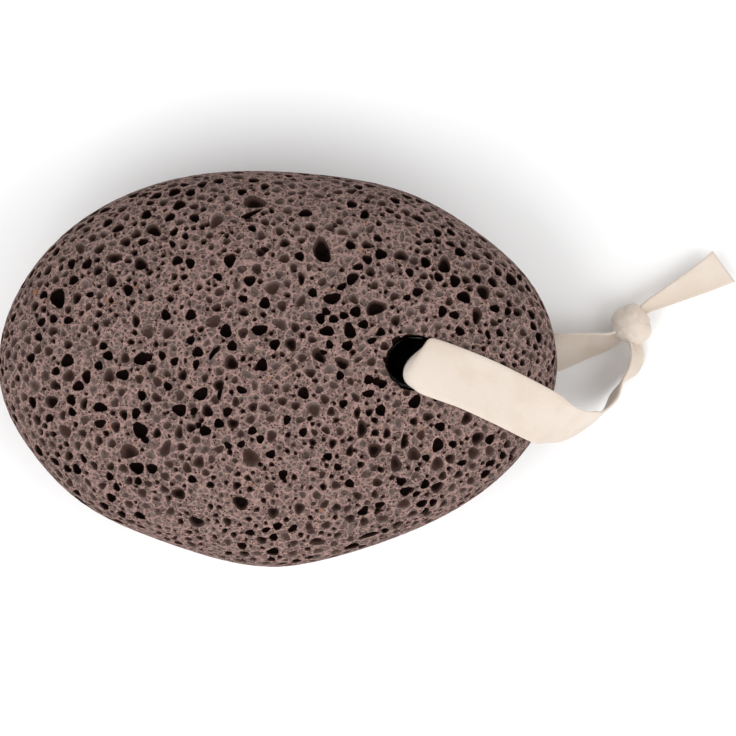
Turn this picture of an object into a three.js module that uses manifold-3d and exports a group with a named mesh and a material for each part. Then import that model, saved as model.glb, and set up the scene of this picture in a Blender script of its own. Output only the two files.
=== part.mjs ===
// A lens-shaped stone of porous lava, drilled near one end, with a cotton tape knotted through the hole.
// Millimetres. +X runs along the stone towards the hole, +Y across it, +Z up from the face that it rests on.
// The origin is the middle of that flat resting face.
import * as THREE from 'three';
import { mergeVertices } from 'three/addons/utils/BufferGeometryUtils.js';
import Module from 'manifold-3d';

const wasm = await Module();
wasm.setup();

// The stone: half sizes, how square its section is, and how deep the resting face is worn
const HALF_LENGTH = 50.25;
const HALF_WIDTH = 35.7;
const HALF_HEIGHT = 19.5;
const SECTION_POWER = 2.3;
const WORN_FLAT = 1;
const MIDDLE_Z = HALF_HEIGHT - WORN_FLAT;

// The outline seen from above is an oval, full on its upper left flank and lean on its lower right one.
// The oval's power is its squareness, and the three low lobes are what the grinding left uneven.
const OUTLINE_POWER = 1.9;
const OUTLINE_LEAN = 0.17;
const OUTLINE_LEAN_DIRECTION = THREE.MathUtils.degToRad(118);
const OUTLINE_CORNERS = 0.065;
const OUTLINE_CORNERS_DIRECTION = THREE.MathUtils.degToRad(164);
const OUTLINE_LOBES = 0.006;
const OUTLINE_LOBES_DIRECTION = THREE.MathUtils.degToRad(15);

// Low, wide unevenness left by hand grinding
const SWELL = 0.006;
const SWELL_LENGTH = 11;
const BODY_DETAIL = 7;

// The drilled hole, with its broken rim
const HOLE_X = 24;
const HOLE_Y = 0.7;
const HOLE_RADIUS = 5;
const RIM_WIDTH = 1.1;
const HOLE_SIDES = 28;

// The vesicles: open gas bubbles cut by the ground surface, on the upper and the lower side
const PITS_PER_SIDE = 190;
const PIT_SIDES = 6;
const PIT_DEPTH = 1.3;
const PIT_RADIUS_SMALL = 0.85;
const PIT_RADIUS_LARGE = 1.45;
const PIT_CROWDING = 1.7;
const PIT_OUTERMOST = 0.9985;
const PIT_GAP = 0.3;
const GOLDEN_ANGLE = Math.PI * (3 - Math.sqrt(5));
const CLEAR_OF_HOLE = 8.2;
const CLEAR_OF_MIDDLE = 4;

// The largest vesicles of the upper side, each [x, y, half length, half width, turn in degrees]
const LARGE_PITS = [
  [-23.7, 18.1, 1.5, 1.2, 70],
  [-38.6, 12.2, 2.0, 1.5, 30],
  [-26.0, -14.6, 1.9, 1.4, 80],
  [-4.4, -15.8, 2.0, 1.5, 60],
  [17.2, 10.4, 2.0, 1.4, 120],
  [21.8, 22.9, 0.6, 2.0, 30],
  [8.2, 28.3, 0.7, 1.9, 20],
  [-21.5, 24.0, 1.6, 1.2, 100],
  [26.5, -14.0, 1.5, 1.2, 70],
  [17.8, -24.0, 2.0, 1.5, 10],
  [2.5, 4.0, 1.3, 1.1, 0],
  [-9.0, 9.5, 1.5, 1.3, 40],
];

// The cotton tape
const TAPE_THICKNESS = 0.6;
const TAPE_LIFT = 0.95;
const STEPS_PER_STATION = 2;
const STEPS_ACROSS = 4;

// The knot: a core along the loose ends, and a band of tape pulled tight round it
const KNOT_MIDDLE = [64.7, 8.1, 3.7];
const KNOT_CORE = [3.9, 2.9, 2.9];
const KNOT_BAND_RADIUS = 2.0;
const KNOT_BAND_THICKNESS = 1.55;
const KNOT_BAND_WIDENING = 1.25;
const KNOT_BAND_LEAN = THREE.MathUtils.degToRad(20);
const KNOT_TURN = THREE.MathUtils.degToRad(35);

// A repeatable scatter number from 0 to 1 for piece i and channel k
function scatter(i, k) {
  const wave = Math.sin(i * 12.9898 + k * 78.233) * 43758.5453;
  return wave - Math.floor(wave);
}

// Distance from the middle to the outline in the direction of an angle
function outlineRadius(angle) {
  const power = OUTLINE_POWER + OUTLINE_LEAN * Math.cos(angle - OUTLINE_LEAN_DIRECTION)
    + OUTLINE_CORNERS * Math.cos(2 * (angle - OUTLINE_CORNERS_DIRECTION));
  const along = Math.abs(Math.cos(angle) / HALF_LENGTH) ** power;
  const across = Math.abs(Math.sin(angle) / HALF_WIDTH) ** power;
  const lobes = 1 + OUTLINE_LOBES * Math.cos(3 * (angle - OUTLINE_LOBES_DIRECTION));
  return lobes * (along + across) ** (-1 / power);
}

// Share of the way from the middle to the outline, at a point seen from above
function reach(x, y) {
  return Math.hypot(x, y) / outlineRadius(Math.atan2(y, x));
}

// A point of the plain form moved out or in by the slow waves of the unevenness
function swelled(point) {
  const wave = Math.sin(point.x / SWELL_LENGTH + 1) * Math.cos(point.y / SWELL_LENGTH)
    + Math.sin((point.y - point.x) / (SWELL_LENGTH * 0.6) + point.z / SWELL_LENGTH);
  return point.multiplyScalar(1 + SWELL * wave);
}

// A point of the stone's surface above (side 1) or below (side -1), measured from the stone's middle
function surfacePoint(x, y, side) {
  const u = Math.min(reach(x, y), 0.9999);
  const z = side * HALF_HEIGHT * (1 - u ** SECTION_POWER) ** (1 / SECTION_POWER);
  return swelled(new THREE.Vector3(x, y, z));
}

// The outward direction of the surface at such a point
function surfaceNormal(point) {
  const planar = Math.hypot(point.x, point.y);
  const radius = outlineRadius(Math.atan2(point.y, point.x));
  const flatPart = (planar / radius) ** (SECTION_POWER - 1) / radius;
  const upPart = Math.abs(point.z / HALF_HEIGHT) ** (SECTION_POWER - 1) / HALF_HEIGHT;
  const shrink = flatPart / Math.max(planar, 0.001);
  return new THREE.Vector3(point.x * shrink, point.y * shrink, Math.sign(point.z) * upPart).normalize();
}

// A closed three.js geometry as a solid
function solidOf(geometry) {
  const plain = geometry.index ? geometry.toNonIndexed() : geometry.clone();
  plain.deleteAttribute('normal');
  plain.deleteAttribute('uv');
  const merged = mergeVertices(plain, 1e-4);
  return new wasm.Manifold(new wasm.Mesh({
    numProp: 3,
    vertProperties: new Float32Array(merged.attributes.position.array),
    triVerts: new Uint32Array(merged.index.array),
  }));
}

// A solid as a three.js geometry with flat faces
function geometryOf(solid) {
  const mesh = solid.getMesh();
  const geometry = new THREE.BufferGeometry();
  geometry.setAttribute('position', new THREE.BufferAttribute(mesh.vertProperties, 3));
  geometry.setIndex(new THREE.BufferAttribute(mesh.triVerts, 1));
  const flat = geometry.toNonIndexed();
  flat.computeVertexNormals();
  return flat;
}

// The whole stone before anything is cut: a fine ball whose points are moved out to the stone's form
function stoneBody() {
  const ball = new THREE.IcosahedronGeometry(1, BODY_DETAIL);
  const places = ball.attributes.position;
  const point = new THREE.Vector3();
  for (let i = 0; i < places.count; i += 1) {
    point.fromBufferAttribute(places, i).normalize();
    const angle = Math.atan2(point.y, point.x);
    const level = Math.asin(THREE.MathUtils.clamp(point.z, -1, 1));
    const flatPart = outlineRadius(angle) * Math.cos(level) ** (2 / SECTION_POWER);
    const upPart = Math.sign(level) * HALF_HEIGHT * Math.abs(Math.sin(level)) ** (2 / SECTION_POWER);
    swelled(point.set(flatPart * Math.cos(angle), flatPart * Math.sin(angle), upPart));
    places.setXYZ(i, point.x, point.y, point.z + MIDDLE_Z);
  }
  return solidOf(ball);
}

// What the resting face loses to wear: everything below the floor
function wornAway() {
  const deep = HALF_HEIGHT;
  const block = new THREE.BoxGeometry(3 * HALF_LENGTH, 3 * HALF_WIDTH, deep);
  return solidOf(block.translate(0, 0, -deep / 2));
}

// The drill: a straight bore that flares where it breaks out at the top and at the bottom
function drill() {
  const top = surfacePoint(HOLE_X, HOLE_Y, 1).z + MIDDLE_Z;
  const bottom = surfacePoint(HOLE_X, HOLE_Y, -1).z + MIDDLE_Z;
  const past = 3;
  const profile = [
    new THREE.Vector2(0, bottom - past),
    new THREE.Vector2(HOLE_RADIUS + RIM_WIDTH + past, bottom - past),
    new THREE.Vector2(HOLE_RADIUS + RIM_WIDTH * 0.4, bottom + RIM_WIDTH * 0.3),
    new THREE.Vector2(HOLE_RADIUS, bottom + RIM_WIDTH * 1.4),
    new THREE.Vector2(HOLE_RADIUS, top - RIM_WIDTH * 1.4),
    new THREE.Vector2(HOLE_RADIUS + RIM_WIDTH * 0.4, top - RIM_WIDTH * 0.3),
    new THREE.Vector2(HOLE_RADIUS + RIM_WIDTH + past, top + past),
    new THREE.Vector2(0, top + past),
  ];
  const turned = new THREE.LatheGeometry(profile, HOLE_SIDES);
  return solidOf(turned.rotateX(Math.PI / 2).translate(HOLE_X, HOLE_Y, 0));
}

// One vesicle: a faceted pit with its rim at the surface and its deepest point inside the stone
function bubble(x, y, side, halfLength, halfWidth, turn) {
  const place = surfacePoint(x, y, side);
  const outward = surfaceNormal(place);
  const depth = PIT_DEPTH * halfWidth;
  const proud = 0.35;
  const widening = (depth + proud) / depth;
  const shape = new THREE.ConeGeometry(widening, depth + proud, PIT_SIDES);
  shape.rotateX(-Math.PI / 2);
  shape.scale(halfLength, halfWidth, 1);
  shape.rotateZ(turn);
  shape.translate(0, 0, proud - (depth + proud) / 2);
  const facing = new THREE.Quaternion().setFromUnitVectors(new THREE.Vector3(0, 0, 1), outward);
  shape.applyQuaternion(facing);
  return solidOf(shape.translate(place.x, place.y, place.z + MIDDLE_Z));
}

// Every vesicle: the named ones, then on each side an even spiral of smaller ones, loosened by scatter
function bubbles() {
  const taken = [];
  const cut = [];
  const put = (x, y, side, halfLength, halfWidth, turn) => {
    const size = Math.max(halfLength, halfWidth);
    const place = surfacePoint(x, y, side);
    const nearHole = Math.hypot(x - HOLE_X, y - HOLE_Y) < CLEAR_OF_HOLE;
    const nearMiddle = side < 0 && Math.hypot(x, y) < CLEAR_OF_MIDDLE;
    const crowded = taken.some(([other, reached]) => place.distanceTo(other) < size + reached + PIT_GAP);
    if (nearHole || nearMiddle || crowded) return;
    taken.push([place, size]);
    cut.push(bubble(x, y, side, halfLength, halfWidth, turn));
  };
  LARGE_PITS.forEach(([x, y, halfLength, halfWidth, degrees]) => {
    put(x, y, 1, halfLength, halfWidth, THREE.MathUtils.degToRad(degrees));
  });
  for (let k = 0; k < 2 * PITS_PER_SIDE; k += 1) {
    const side = k < PITS_PER_SIDE ? 1 : -1;
    const turnNumber = k % PITS_PER_SIDE;
    const share = (turnNumber + 0.3 + 0.6 * scatter(k, 1)) / PITS_PER_SIDE;
    const u = Math.min(Math.sqrt(1 - (1 - share) ** PIT_CROWDING), PIT_OUTERMOST);
    const angle = (turnNumber + 0.5 * scatter(k, 2)) * GOLDEN_ANGLE;
    const radius = outlineRadius(angle) * u;
    const size = PIT_RADIUS_SMALL + (PIT_RADIUS_LARGE - PIT_RADIUS_SMALL) * scatter(k, 3) ** 2;
    const narrow = 0.7 + 0.3 * scatter(k, 4);
    const turn = 2 * Math.PI * scatter(k, 5);
    put(radius * Math.cos(angle), radius * Math.sin(angle), side, size, size * narrow, turn);
  }
  return cut;
}

// The finished stone
function stone() {
  const cuts = [wornAway(), drill(), ...bubbles()];
  const body = cuts.reduce((solid, cut) => solid.subtract(cut), stoneBody());
  const mesh = new THREE.Mesh(
    geometryOf(body),
    new THREE.MeshStandardMaterial({ color: 0x8a6f69, roughness: 0.95, metalness: 0 }),
  );
  mesh.name = 'stone';
  return mesh;
}

// A point of the tape where it lies on the stone's upper side
function onStone(x, y, lift = TAPE_LIFT) {
  return new THREE.Vector3(x, y, surfacePoint(x, y, 1).z + MIDDLE_Z + lift);
}

// A point of the tape anywhere else
function at(x, y, z) {
  return new THREE.Vector3(x, y, z);
}

// One cross line of the tape: its two edges, and its middle, which is half way unless it is cupped
function line(edge, otherEdge, middle = edge.clone().lerp(otherEdge, 0.5)) {
  return [edge, middle, otherEdge];
}

// The loop: from the knot over the stone, down the hole, back under the stone and into the knot
function loopLines() {
  return [
    line(at(63.8, 8.6, 4.6), at(65.6, 8.0, 3.0)),
    line(at(64.3, 5.2, 5.3), at(66.5, 5.2, 2.4), at(64.5, 4.9, 3.0)),
    line(at(64.5, 2.5, 6.3), at(67.1, 2.1, 1.2), at(65.2, 2.1, 3.1)),
    line(at(63.9, 0.0, 7.8), at(66.1, -0.7, 0.8), at(64.4, -0.6, 3.8)),
    line(at(62.6, -2.5, 9.2), at(63.4, -2.6, 0.7), at(62.6, -2.8, 4.8)),
    line(at(61.4, -5.7, 10.6), at(61.1, -5.1, 0.9)),
    line(at(58.8, -8.0, 12.2), at(59.4, -8.3, 2.6)),
    line(at(57.4, -8.0, 14.5), at(55.6, -11.3, 5.8)),
    line(at(55.6, -7.9, 17.3), at(51.8, -13.2, 10.2)),
    line(at(53.0, -7.0, 21.0), at(48.4, -13.6, 16.2)),
    line(at(49.6, -4.6, 25.8), at(45.2, -13.3, 23.8)),
    line(onStone(43.0, -1.2), onStone(38.5, -10.1)),
    line(onStone(36.0, 2.0), onStone(32.0, -7.1)),
    line(onStone(27.7, 5.0), onStone(25.4, -4.7), onStone(26.3, 0.2, 1.4)),
    line(at(26.6, 4.3, 35.5), at(24.5, -3.8, 36.0), at(22.7, -0.8, 36.4)),
    line(at(26.5, 3.9, 33.0), at(24.7, -3.3, 33.0), at(22.4, -0.2, 33.2)),
    line(at(26.4, 3.8, 18.0), at(24.8, -3.2, 18.0), at(22.4, 0.0, 18.0)),
    line(at(26.4, 3.8, 4.0), at(24.8, -3.2, 4.0), at(22.4, 0.2, 4.0)),
    line(at(27.2, 4.2, 1.3), at(26.0, -3.4, 1.3), at(24.6, 0.5, 1.1)),
    line(at(32.5, 5.8, 0.7), at(32.5, -4.1, 0.7)),
    line(at(41.5, 6.7, 1.9), at(41.5, -3.0, 1.0)),
    line(at(50.7, 6.2, 6.2), at(51.1, -0.7, 0.9), at(50.9, 3.4, 2.6)),
    line(at(56.8, 6.2, 6.0), at(57.2, 1.8, 1.0), at(57.0, 5.0, 2.2)),
    line(at(60.9, 6.3, 5.5), at(61.4, 3.7, 1.8), at(61.1, 6.0, 2.5)),
    line(at(64.4, 8.6, 4.6), at(65.0, 7.2, 3.2)),
  ];
}

// One loose end, lowered and shortened for the end that lies under the other
function tailLines(drop, length) {
  const away = at(0.83, 0.56, 0).multiplyScalar(-length);
  return [
    line(at(64.6, 9.2, 4.4 - drop), at(65.4, 7.9, 4.2 - drop)),
    line(at(67.0, 12.0, 4.6 - drop), at(67.6, 9.1, 3.6 - drop), at(67.2, 10.2, 2.8 - drop)),
    line(at(71.0, 14.9, 4.3 - drop), at(72.4, 10.8, 2.8 - drop), at(71.5, 12.2, 2.1 - drop)),
    line(at(76.2, 18.6, 4.0 - drop).add(away), at(79.3, 13.6, 2.2 - drop).add(away),
      at(77.6, 15.4, 1.7 - drop).add(away)),
    line(at(79.6, 21.5, 3.8 - drop).add(away), at(84.0, 15.9, 2.0 - drop).add(away),
      at(81.6, 18.2, 1.6 - drop).add(away)),
  ];
}

// A strip of cloth through a list of cross lines: a long thin box, bent so that its middle face follows them
function strip(lines) {
  const curves = [0, 1, 2].map((k) => new THREE.CatmullRomCurve3(lines.map((entry) => entry[k])));
  const along = (lines.length - 1) * STEPS_PER_STATION;
  const box = new THREE.BoxGeometry(2, 1, 1, STEPS_ACROSS, 1, along);
  const face = (v, t) => {
    const [edge, middle, otherEdge] = curves.map((curve) => curve.getPoint(t));
    return edge.multiplyScalar(v * (v - 1) / 2)
      .addScaledVector(middle, 1 - v * v)
      .addScaledVector(otherEdge, v * (v + 1) / 2);
  };
  const places = box.attributes.position;
  const small = 0.002;
  for (let i = 0; i < places.count; i += 1) {
    const v = places.getX(i);
    const t = THREE.MathUtils.clamp(places.getZ(i) + 0.5, 0, 1);
    const ahead = face(v, Math.min(t + small, 1)).sub(face(v, Math.max(t - small, 0)));
    const across = face(v + small, t).sub(face(v - small, t));
    const outward = ahead.cross(across).normalize();
    const place = face(v, t).addScaledVector(outward, places.getY(i) * TAPE_THICKNESS);
    places.setXYZ(i, place.x, place.y, place.z);
  }
  return solidOf(box);
}

// The inside of the pulled-tight knot as one rounded lump
function knotCore() {
  const lump = new THREE.IcosahedronGeometry(1, 2);
  lump.scale(...KNOT_CORE);
  lump.rotateZ(KNOT_TURN);
  return solidOf(lump.translate(...KNOT_MIDDLE));
}

// The turn of tape that goes round it
function knotBand() {
  const band = new THREE.TorusGeometry(KNOT_BAND_RADIUS, KNOT_BAND_THICKNESS, 8, 14);
  band.scale(1, 1, KNOT_BAND_WIDENING);
  band.rotateY(Math.PI / 2 - KNOT_BAND_LEAN);
  band.rotateZ(KNOT_TURN);
  return solidOf(band.translate(...KNOT_MIDDLE));
}

// The tape in one piece: loop, knot and both loose ends
function tape() {
  const parts = [knotCore(), knotBand(), strip(tailLines(0, 0)), strip(tailLines(0.95, 3.2))];
  const body = parts.reduce((solid, next) => solid.add(next), strip(loopLines()));
  const mesh = new THREE.Mesh(
    geometryOf(body),
    new THREE.MeshStandardMaterial({ color: 0xeedfd2, roughness: 0.9, metalness: 0 }),
  );
  mesh.name = 'tape';
  return mesh;
}

const group = new THREE.Group();
group.add(stone());
group.add(tape());
export default group;
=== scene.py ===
# %% [markdown]
# # A pumice stone on a cotton tape
# A foot stone of porous lava, drilled near one end, with a strip of cotton tape tied through the hole.
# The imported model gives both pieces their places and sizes. This lesson gives them their finish: thousands of
# gas bubbles cut open by grinding, and a soft, flat, woven tape with one knot. All shapes are worked out in
# millimetres, because that is how the stone and the tape are measured, and become metres at the very end.

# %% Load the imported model
import math

import bpy
import numpy as np
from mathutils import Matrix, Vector, kdtree


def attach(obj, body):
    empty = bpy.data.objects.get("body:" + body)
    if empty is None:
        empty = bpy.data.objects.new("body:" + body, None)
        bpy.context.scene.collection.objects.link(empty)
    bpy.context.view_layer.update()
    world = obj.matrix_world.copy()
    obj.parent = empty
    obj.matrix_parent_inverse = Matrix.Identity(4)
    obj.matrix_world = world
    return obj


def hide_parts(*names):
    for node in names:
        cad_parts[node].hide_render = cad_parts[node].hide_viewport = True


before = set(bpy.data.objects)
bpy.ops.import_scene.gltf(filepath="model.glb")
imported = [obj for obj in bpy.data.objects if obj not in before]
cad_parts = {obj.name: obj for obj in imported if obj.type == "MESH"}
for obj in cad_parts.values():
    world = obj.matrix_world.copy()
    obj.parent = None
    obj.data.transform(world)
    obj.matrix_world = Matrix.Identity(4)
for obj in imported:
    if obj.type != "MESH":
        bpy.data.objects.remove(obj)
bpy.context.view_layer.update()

MM = 0.001
print("packed nodes:", list(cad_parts))

# %% [markdown]
# ## The stone's form
# Seen from above the stone is an oval that is full on one flank and lean on the other. Seen from the side it is
# a rounded lens, a little squarer than an ellipse. It could be sculpted by hand, but then nothing else could
# know where the surface is. Here it is a formula, so that each vesicle and the tape can ask for a point on it.

# %% The stone's sizes, in millimetres
HALF_LENGTH = 50.25
HALF_WIDTH = 35.7
HALF_HEIGHT = 19.5
SECTION_POWER = 2.3
WORN_FLAT = 1.0
MIDDLE_Z = HALF_HEIGHT - WORN_FLAT
OUTLINE_POWER = 1.9
OUTLINE_LEAN, OUTLINE_LEAN_DIRECTION = 0.17, math.radians(118)
OUTLINE_CORNERS, OUTLINE_CORNERS_DIRECTION = 0.065, math.radians(164)
OUTLINE_LOBES, OUTLINE_LOBES_DIRECTION = 0.006, math.radians(15)
SWELL = 0.006
SWELL_LENGTH = 11.0
HOLE_X, HOLE_Y, HOLE_RADIUS = 24.1, 0.9, 4.8


# %% The outline, the unevenness and the surface
def outline_radius(angle):
    """Distance from the middle to the outline: a superellipse whose power changes slowly round the oval."""
    power = OUTLINE_POWER + OUTLINE_LEAN * np.cos(angle - OUTLINE_LEAN_DIRECTION)
    power = power + OUTLINE_CORNERS * np.cos(2 * (angle - OUTLINE_CORNERS_DIRECTION))
    along = np.abs(np.cos(angle) / HALF_LENGTH) ** power
    across = np.abs(np.sin(angle) / HALF_WIDTH) ** power
    lobes = 1 + OUTLINE_LOBES * np.cos(3 * (angle - OUTLINE_LOBES_DIRECTION))
    return lobes * (along + across) ** (-1 / power)


def swelled(points):
    """Points moved out or in from the stone's middle by two slow sine waves, the unevenness of hand grinding."""
    x, y, z = points[..., 0], points[..., 1], points[..., 2]
    wave = np.sin(x / SWELL_LENGTH + 1) * np.cos(y / SWELL_LENGTH)
    wave = wave + np.sin((y - x) / (SWELL_LENGTH * 0.6) + z / SWELL_LENGTH)
    return points * (1 + SWELL * wave)[..., None]


def surface_points(x, y, side):
    """Points of the upper (side 1) or lower (side -1) surface: height falls off as a superellipse of the reach."""
    reach = np.minimum(np.hypot(x, y) / outline_radius(np.arctan2(y, x)), 0.9999)
    z = side * HALF_HEIGHT * (1 - reach ** SECTION_POWER) ** (1 / SECTION_POWER)
    return swelled(np.stack([x, y, z * np.ones_like(x)], axis=-1))


def surface_normals(points):
    """Outward directions: the gradient of (planar reach) to the power plus (height share) to the power."""
    planar = np.maximum(np.hypot(points[:, 0], points[:, 1]), 0.001)
    radius = outline_radius(np.arctan2(points[:, 1], points[:, 0]))
    flat_part = (planar / radius) ** (SECTION_POWER - 1) / radius / planar
    up_part = np.abs(points[:, 2] / HALF_HEIGHT) ** (SECTION_POWER - 1) / HALF_HEIGHT
    slope = np.stack([points[:, 0] * flat_part, points[:, 1] * flat_part,
                      np.sign(points[:, 2]) * up_part], axis=1)
    return slope / np.linalg.norm(slope, axis=1)[:, None]


def depth_below_surface(points):
    """How far below the ground surface points lie: the share of the reach that is missing, times the slope.

    Over the worn flat underneath it is the height above the floor.
    """
    swell = np.linalg.norm(swelled(points), axis=1) / np.maximum(np.linalg.norm(points, axis=1), 0.001)
    plain = points / swell[:, None]
    radius = outline_radius(np.arctan2(plain[:, 1], plain[:, 0]))
    flat_share = np.hypot(plain[:, 0], plain[:, 1]) / radius
    up_share = np.abs(plain[:, 2]) / HALF_HEIGHT
    level = (flat_share ** SECTION_POWER + up_share ** SECTION_POWER) ** (1 / SECTION_POWER)
    flat_slope = (flat_share / level) ** (SECTION_POWER - 1) / radius
    up_slope = (up_share / level) ** (SECTION_POWER - 1) / HALF_HEIGHT
    return np.minimum((1 - level) / np.hypot(flat_slope, up_slope), points[:, 2] + MIDDLE_Z)


# %% [markdown]
# ## The stone before its vesicles
# A ball with poles would crowd its faces at two points. Six square grids blown up into a ball have no poles and
# faces of nearly one size. Each point's direction then gives its place on the stone by the same formula.

# %% A ball from six square grids
def ball_directions(cells):
    """Points of the unit ball and its square faces: a grid on each side of a cube, pushed out to the ball."""
    ticks = np.tan(np.linspace(-math.pi / 4, math.pi / 4, cells + 1))
    a, b = np.meshgrid(ticks, ticks, indexing="ij")
    ones = np.ones_like(a)
    sides = [np.stack(axes, axis=-1) for axes in (
        (ones, a, b), (-ones, b, a), (b, ones, a), (a, -ones, b), (a, b, ones), (b, a, -ones))]
    points = np.concatenate([side.reshape(-1, 3) for side in sides])
    points /= np.linalg.norm(points, axis=1)[:, None]
    row = np.arange(cells)
    corner = (row[:, None] * (cells + 1) + row[None, :]).ravel()
    square = np.stack([corner, corner + cells + 1, corner + cells + 2, corner + 1], axis=1)
    faces = np.concatenate([square + k * (cells + 1) ** 2 for k in range(6)])
    _, first, merged = np.unique(np.round(points, 6), axis=0, return_index=True, return_inverse=True)
    return points[first], merged.ravel()[faces]


def stone_form(directions):
    """The stone's point in each direction: latitude and longitude of the ball put into the two superellipses."""
    angle = np.arctan2(directions[:, 1], directions[:, 0])
    up = np.clip(directions[:, 2], -1, 1)
    level = np.sqrt(1 - up ** 2)
    flat_part = outline_radius(angle) * level ** (2 / SECTION_POWER)
    up_part = np.sign(up) * HALF_HEIGHT * np.abs(up) ** (2 / SECTION_POWER)
    points = np.stack([flat_part * np.cos(angle), flat_part * np.sin(angle), up_part], axis=1)
    points = swelled(points)
    points[:, 2] = np.maximum(points[:, 2] + MIDDLE_Z, 0)
    return points


# %% A mesh object from arrays, in metres
def mesh_object(name, points_mm, faces):
    """A new object whose mesh has these points, given in millimetres, and these faces."""
    mesh = bpy.data.meshes.new(name)
    faces = faces if isinstance(faces, list) else faces.tolist()
    mesh.from_pydata((np.asarray(points_mm) * MM).tolist(), [], faces)
    mesh.update()
    piece = bpy.data.objects.new(name, mesh)
    bpy.context.scene.collection.objects.link(piece)
    return piece


BODY_CELLS = 26
ball_points, ball_faces = ball_directions(BODY_CELLS)
body_points = stone_form(ball_points)
stone = mesh_object("lava_stone", body_points, ball_faces)
print("stone before vesicles:", len(body_points), "points, size",
      np.round(np.ptp(body_points, axis=0), 1), "mm")

# %% [markdown]
# ## The vesicles that the eye notices
# Some seventy wide vesicles and dark holes give this stone its face, so they are placed one by one. Each was read
# off one of four enlarged views of the photo: how far right and down its middle lies, half its size both
# ways, its turn in degrees, and how deep it looks. A pixel isn't a place yet, because the stone's top is nearer
# to the camera than its rim. So the place is found in turns: the height gives the scale, the scale gives the
# place, and the place gives a better height.

# %% The readings, and where the camera's rays through them meet the stone
PHOTO_MIDDLE, MM_PER_PIXEL = 368, 0.18
EYE_X, EYE_Y, EYE_ABOVE_MIDDLE = 15.93, -0.09, 552.0
RAY_TURNS, OUTERMOST_REACH = 6, 0.99

# Each view: its left and top edge in the photo's pixels, how many times it is enlarged, and its readings
VIEWS = [
    (240, 175, 5.227, [
        (75, 135, 62, 50, 0, 0.55), (430, 385, 45, 85, 20, 0.9), (345, 190, 38, 25, 20, 1.3),
        (1070, 465, 40, 52, 0, 0.9), (1130, 550, 33, 33, 0, 1.3), (1280, 605, 45, 42, 0, 0.7),
        (1245, 730, 30, 50, 0, 0.95), (1065, 710, 25, 32, 0, 1.4), (925, 230, 38, 22, -20, 1.3),
        (165, 585, 45, 40, 0, 0.42), (130, 670, 32, 30, 0, 1.4), (585, 545, 36, 30, 40, 1.1),
        (50, 550, 30, 32, 0, 1.1), (320, 540, 20, 38, 0, 1.4),
    ]),
    (40, 190, 6.03, [
        (1070, 180, 40, 72, -20, 0.5), (845, 100, 40, 38, 0, 1.3), (480, 235, 42, 27, 35, 1.3),
        (1145, 420, 35, 48, 0, 1.2), (535, 605, 33, 36, 0, 1.3), (755, 750, 30, 36, 0, 1.4),
        (905, 750, 35, 33, 0, 1.1), (1040, 790, 50, 42, 20, 0.4), (765, 855, 38, 43, 0, 0.6),
        (645, 850, 40, 48, 0, 0.4), (600, 1020, 40, 44, 0, 1.3), (165, 1030, 42, 42, 0, 1.1),
        (575, 790, 26, 42, 15, 1.4), (970, 1230, 54, 33, 40, 1.2), (840, 1325, 45, 38, 20, 1.2),
        (945, 975, 32, 36, 0, 1.1), (435, 545, 38, 46, 0, 0.95), (455, 410, 56, 38, 5, 0.75),
        (275, 1125, 32, 38, 0, 1.2), (405, 1115, 42, 43, 0, 0.6), (225, 1185, 38, 33, 0, 1.1),
        (255, 1290, 24, 42, -10, 1.3), (1150, 1040, 48, 46, 0, 0.7),
    ]),
    (20, 400, 6.03, [
        (880, 290, 36, 58, -30, 0.6), (825, 200, 27, 35, 0, 1.3), (960, 190, 29, 40, 0, 0.9),
        (1080, 370, 40, 37, 0, 0.7), (615, 90, 27, 34, 0, 1.3), (375, 30, 27, 40, 0, 1.3),
        (1305, 520, 28, 28, 0, 1.3), (470, 145, 42, 25, 5, 1.0), (1525, 690, 35, 45, 0, 0.8),
        (260, 190, 42, 48, 0, 0.5), (1245, 740, 30, 34, 0, 0.9),
    ]),
    (250, 380, 5.807, [
        (310, 75, 35, 35, 0, 1.0), (625, 190, 22, 38, 0, 1.4), (650, 285, 34, 52, 0, 0.9),
        (795, 310, 25, 33, 0, 1.4), (895, 360, 26, 42, -15, 1.4), (950, 240, 25, 30, 0, 1.3),
        (1085, 375, 32, 47, -5, 1.2), (945, 425, 42, 44, 0, 0.6), (1080, 490, 46, 48, 0, 0.5),
        (845, 485, 38, 52, 0, 0.7), (480, 370, 23, 33, 0, 1.4), (580, 415, 22, 42, -15, 1.4),
        (190, 555, 28, 30, 0, 1.3), (900, 645, 32, 34, 0, 1.2), (890, 722, 46, 38, 0, 0.5),
        (1015, 605, 30, 30, 0, 1.4), (655, 765, 30, 28, 0, 1.4), (750, 725, 30, 25, 0, 1.3),
        (945, 785, 38, 28, 15, 0.9), (765, 810, 43, 38, 0, 0.4), (690, 905, 60, 27, 20, 1.0),
        (1305, 430, 44, 46, 0, 0.5), (390, 940, 50, 34, 0, 0.8), (370, 165, 46, 46, 0, 0.4),
    ]),
]


def places_in_photo(column, row):
    """The stone's x and y under these pixels of the photo, and how many millimetres a pixel covers there."""
    rise = np.full(len(column), HALF_HEIGHT)
    for _ in range(RAY_TURNS):
        scale = MM_PER_PIXEL * (EYE_ABOVE_MIDDLE - rise) / EYE_ABOVE_MIDDLE
        x = EYE_X + (column - PHOTO_MIDDLE) * scale
        y = EYE_Y + (PHOTO_MIDDLE - row) * scale
        reach = np.minimum(np.hypot(x, y) / outline_radius(np.arctan2(y, x)), OUTERMOST_REACH)
        rise = HALF_HEIGHT * (1 - reach ** SECTION_POWER) ** (1 / SECTION_POWER)
    return x, y, scale


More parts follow.
